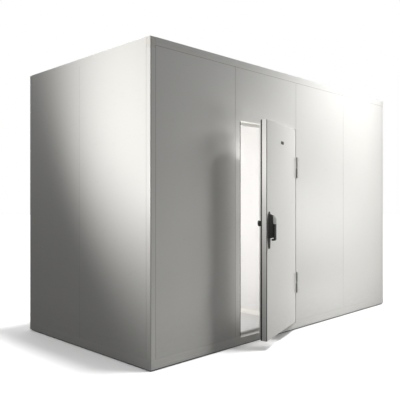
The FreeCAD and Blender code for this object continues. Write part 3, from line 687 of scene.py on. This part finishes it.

    # Thicker dark sealant beads on the front face only: up the two corner legs, and along the top under the roof
    # edge. The top bead is painted shade, standing in for the shadow that the roof edge's lip casts on the front.
    sunk = FRONT + 0.0024
    leg_left, leg_right = LEFT + CORNER_LEG, RIGHT - CORNER_LEG
    grow("front_joint_and_lip_shade_lines", beads, [
        upright(leg_left, sunk, front_way),
        upright(leg_right, sunk, front_way),
        ([Vector((x, sunk, WALL_TOP)) for x in (leg_left, leg_right)], front_way),
    ], "room", "room_panels", Radius=0.0030, Finish=sealant)

    lips = []
    inset = 0.002
    for standoff in (-0.048, -0.054):
        ring = [
            on_leaf(LEAF_FREE_EDGE + inset, standoff, LEAF_FOOT + inset),
            on_leaf(LEAF_HINGE_EDGE - inset, standoff, LEAF_FOOT + inset),
            on_leaf(LEAF_HINGE_EDGE - inset, standoff, LEAF_HEAD - inset),
            on_leaf(LEAF_FREE_EDGE + inset, standoff, LEAF_HEAD - inset),
        ]
        lips.append((ring, LEAF_OUTWARD))
    grow("gasket_lips", beads, lips, "door", "gasket", Radius=0.0011, Finish=rubber)
    # A black rubber bead up the recess's left arris: painted shade, standing in for the shadow gap at that edge.
    grow("recess_edge_shade_bead", beads, [
        upright(low("threshold_plate").x, FRONT, front_way, 0.074, LEAF_HEAD + 0.004),
    ], "room", "gasket", Radius=0.0030, Finish=rubber)
    # A black rubber bead down the leaf's free front arris: painted shade, standing in for the dark shadow line at
    # that edge.
    shade_bead_ends = (LEAF_FOOT + 0.004, LEAF_HEAD - 0.004)
    grow("leaf_edge_shade_bead", beads, [
        ([on_leaf(LEAF_FREE_EDGE + 0.0025, -0.003, z) for z in shade_bead_ends], LEAF_OUTWARD),
    ], "door", "gasket", Radius=0.0035, Finish=rubber)


# The studio: a pale floor under a white sky, and soft lights placed by the photograph's shading


def link_light(name, data, place, aim):
    """Puts a light at a place, turned to its aim, unseen by the camera."""
    light = bpy.data.objects.new(name, data)
    light.location = place
    light.rotation_mode = "QUATERNION"
    light.rotation_quaternion = (Vector(aim) - Vector(place)).to_track_quat("-Z", "Y")
    light.visible_camera = False
    scene.collection.objects.link(light)
    return light


def softbox(name, place, aim, size, watts, tall=None):
    """A soft light, square unless its height is given."""
    data = bpy.data.lights.new(name, "AREA")
    data.shape = "RECTANGLE"
    data.size = size
    data.size_y = tall or size
    data.energy = watts
    return link_light(name, data, place, aim)


def lamp(name, place, aim, watts, cone, radius):
    """A lamp with a soft-edged cone."""
    data = bpy.data.lights.new(name, "SPOT")
    data.energy = watts
    data.spot_size = cone
    data.spot_blend = 1.0
    data.shadow_soft_size = radius
    return link_light(name, data, place, aim)


def sky(name, direction, strength, angle):
    """Distant light from a direction, softened over an angle."""
    data = bpy.data.lights.new(name, "SUN")
    data.energy = strength
    data.angle = angle
    return link_light(name, data, direction, (0, 0, 0))


def reach(name, pieces, state, lights):
    """Lets lights fall on these pieces only, or on everything but these."""
    group = bpy.data.collections.new(name)
    for piece in pieces:
        group.objects.link(piece)
    for entry in group.collection_objects:
        entry.light_linking.link_state = state
    for light in lights:
        light.light_linking.receiver_collection = group


def studio():
    """The floor, the white surround and the lights."""
    half = 40.0
    mesh = bpy.data.meshes.new("studio_floor")
    mesh.from_pydata(
        [(-half, -half, 0), (half, -half, 0), (half, half, 0), (-half, half, 0)], [], [(0, 1, 2, 3)]
    )
    floor = bpy.data.objects.new("studio_floor", mesh)
    scene.collection.objects.link(floor)
    floor.visible_diffuse = False
    floor.visible_glossy = False
    finish = Finish("studio_floor")
    mesh.materials.append(finish.set(Base_Color=grey(0.9, 0.0), Roughness=0.9))

    world = bpy.data.worlds.new("studio")
    scene.world = world
    world.use_nodes = True
    surround = world.node_tree.nodes["Background"]
    surround.inputs["Color"].default_value = (1, 1, 1, 1)
    surround.inputs["Strength"].default_value = 1.0
    for kind in ("diffuse", "glossy", "transmission", "scatter"):
        setattr(world.cycles_visibility, kind, False)

    sky("overall", (0, 0, 5), 0.77, 3.1)
    sky("far_right", (4.2, -1.75, 1.5), 0.77, 0.3)
    lamp("key", (2.4, -3.1, 5.0), (0.7, FRONT, 1.55), 625, 0.76, 0.30)
    lamp("key_low", (2.4, -3.1, 5.0), (0.0, FRONT, 1.2), 242, 0.80, 0.30)
    lamp("left_wash", (-3.64, 0.16, 1.33), (LEFT, -4.0, 3.96), 245, 2.70, 0.2)
    softbox("left_top", (-3.2, -0.5, 3.4), (LEFT, 0.0, 2.3), 0.8, 7.5)
    softbox("left_low", (-2.5, -2.2, 0.35), (-1.4, FRONT, 0.4), 0.6, 1.3)
    softbox("right_fill", (2.6, -2.8, 1.0), (0.8, -0.9, 1.3), 1.0, 24.8)
    softbox("foot_wash", (0.95, -1.55, 0.07), (0.95, FRONT, 0.25), 1.7, 1.7, 0.10)
    softbox("door_foot_wash", (0.1, -1.9, 0.08), (-0.3, -1.05, 0.25), 0.7, 0.5, 0.10)
    inside_wash = softbox("inside_wash", (-1.65, -0.1, 1.5), (0.0, -0.3, 1.4), 1.2, 18.0)
    inside_low = softbox("inside_low", (-1.3, -0.1, 0.5), (0.0, -0.4, 0.6), 0.9, 3.7)
    # A little cool, to offset the warmth that light picks up from wall to wall inside.
    for light in (inside_wash, inside_low):
        light.data.color = (0.945, 0.94, 1.0)
    softbox("back_soft", (0.4, 5.2, 3.0), (0.0, 0.9, 1.2), 3.0, 160)
    softbox("right_soft", (5.4, 1.4, 2.6), (RIGHT, 0.0, 1.2), 2.4, 110)

    leaf_edge = softbox("leaf_edge", (-1.7, -1.45, 1.62), (-0.79, -1.17, 1.60), 0.3, 7.5)
    bounce = softbox("leaf_bounce", (-0.73, -1.03, 1.05), (-0.87, FRONT, 1.05), 0.10, 0.73, 1.7)
    bounce_top = softbox("leaf_bounce_top", (-0.70, -1.04, 1.75), (-0.85, FRONT, 2.0), 0.10, 0.28, 0.4)
    head_bounce = softbox("head_bounce", (-0.6, -0.75, 1.2), (-0.6, -0.88, 1.95), 0.3, 3.3)
    floor_sky = sky("floor_sky", (0, 0, 6), 2.8, 3.1)
    floor_sun = sky("floor_sun", (0.14, -0.12, 1), 2.1, 0.12)
    under_leaf = lamp("under_leaf", (-0.35, -1.55, 0.12), (-0.60, -1.0, 0.0), 30, 0.62, 0.04)

    bodies = frame["bodies"]
    door_pieces = [
        piece for piece in scene.objects if piece.parent in (bodies["door"], bodies["lever"])
    ]
    inner_lights = [light for light in scene.objects if light.type == "LIGHT"]
    reach("not_the_floor", [floor], "EXCLUDE", inner_lights)
    reach("floor_only", [floor], "INCLUDE", [floor_sky, floor_sun, under_leaf])
    reach("door_only", door_pieces, "INCLUDE", [leaf_edge])
    reach("head_only", [nodes["door_panel_head"]], "INCLUDE", [head_bounce])
    reach("not_the_door", [floor] + door_pieces, "EXCLUDE", [bounce, bounce_top])


scene.view_settings.view_transform = "Standard"
photo_camera()
dress_room()
fittings()
studio()
